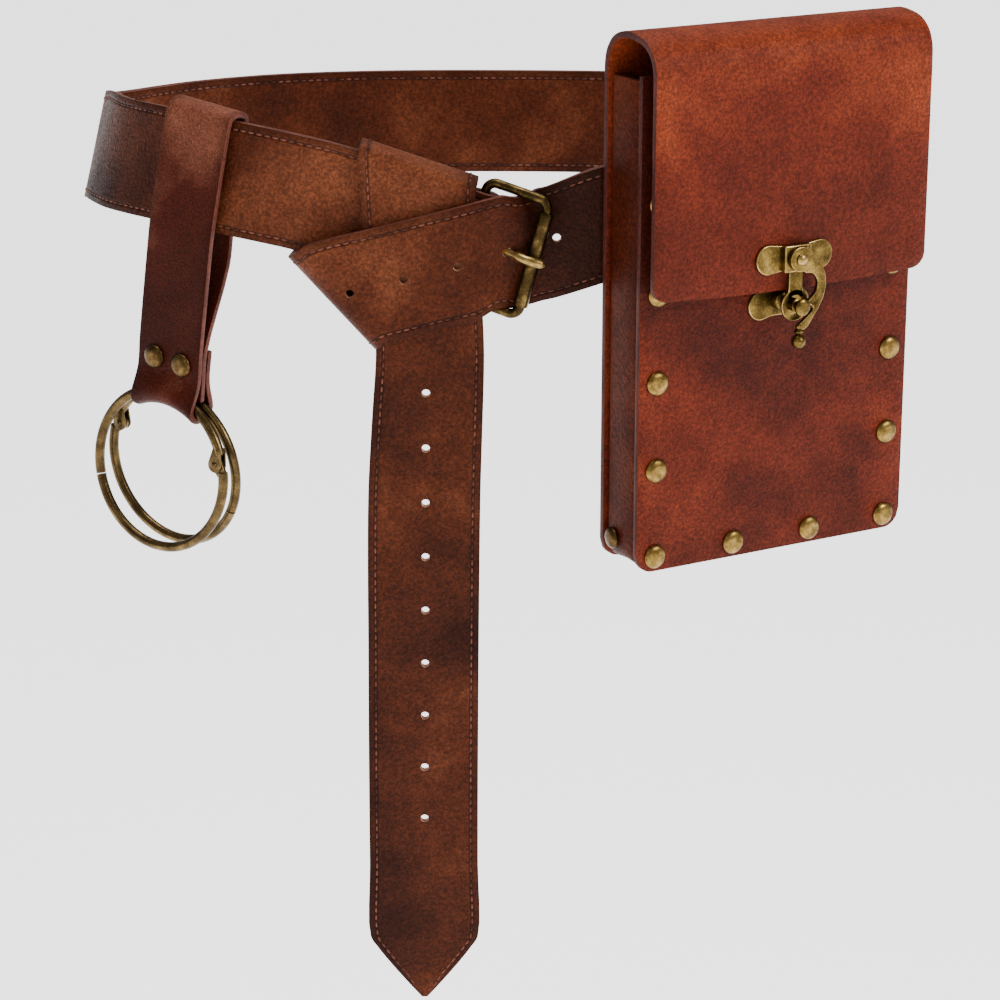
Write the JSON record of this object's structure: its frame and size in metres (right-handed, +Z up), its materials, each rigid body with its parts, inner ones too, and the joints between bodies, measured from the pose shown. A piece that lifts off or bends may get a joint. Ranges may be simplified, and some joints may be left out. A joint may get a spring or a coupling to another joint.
{
  "type": "medieval belt pouch",
  "caption": "Tall leather flap pouch with a swing-hook clasp on a knotted strap belt with a roller buckle, and a hanging strap with hinged rings.",
  "frame": {"origin": "the middle of the waist that the belt goes round, at the height of the belt's middle in front", "axes": "+Z up, +X along the pouch's width towards the viewer's right, -Y the way that the pouch faces"},
  "size_m": [0.2899, 0.2395, 0.3639],
  "materials": {
    "pouch_leather": "aged, grained",
    "belt_leather": "aged, grained",
    "frog_leather": "smooth",
    "brass": "antique, darkened"
  },
  "bodies": {
    "pouch_and_belt": {"belt_loop_left": "pouch_leather", "belt_loop_right": "pouch_leather", "belt_strap": "belt_leather", "buckle_frame": "brass", "buckle_prong": "brass", "buckle_roller": "brass", "clasp_plate": "brass", "clasp_post": "brass", "front_rivet_bottom_1": "brass", "front_rivet_bottom_2": "brass", "front_rivet_left_1": "brass", "front_rivet_left_2": "brass", "front_rivet_left_3": "brass", "front_rivet_left_4": "brass", "front_rivet_left_5": "brass", "front_rivet_right_1": "brass", "front_rivet_right_2": "brass", "front_rivet_right_3": "brass", "front_rivet_right_4": "brass", "front_rivet_right_5": "brass", "gusset_rivet_left": "brass", "gusset_rivet_right": "brass", "loop_rivet_left_bottom": "brass", "loop_rivet_left_top": "brass", "loop_rivet_right_bottom": "brass", "loop_rivet_right_top": "brass", "pouch_back_flap": "pouch_leather", "pouch_front_panel": "pouch_leather", "pouch_gusset": "pouch_leather", "ring_back_upper": "brass", "ring_front_upper": "brass", "ring_strap": "frog_leather", "ring_strap_rivet_1": "brass", "ring_strap_rivet_2": "brass"},
    "clasp_hook_body": {"clasp_hook": "brass"},
    "front_ring_gate": {"ring_front_lower": "brass"},
    "back_ring_gate": {"ring_back_lower": "brass"}
  },
  "joints": [
    {"name": "clasp_swing", "type": "hinge", "parent": "pouch_and_belt", "child": "clasp_hook_body", "pos_m": [0.05895, -0.13157, -0.02606], "axis": [0, -1, 0], "range_deg": [0, 95]},
    {"name": "front_ring_open", "type": "hinge", "parent": "pouch_and_belt", "child": "front_ring_gate", "pos_m": [-0.11556, -0.02476, -0.10215], "axis": [-0.8966, -0.4387, 0.0606], "range_deg": [0, 65]},
    {"name": "back_ring_open", "type": "hinge", "parent": "pouch_and_belt", "child": "back_ring_gate", "pos_m": [-0.13139, 0.02296, -0.09585], "axis": [0.9032, 0.4249, 0.0606], "range_deg": [0, 65]}
  ]
}
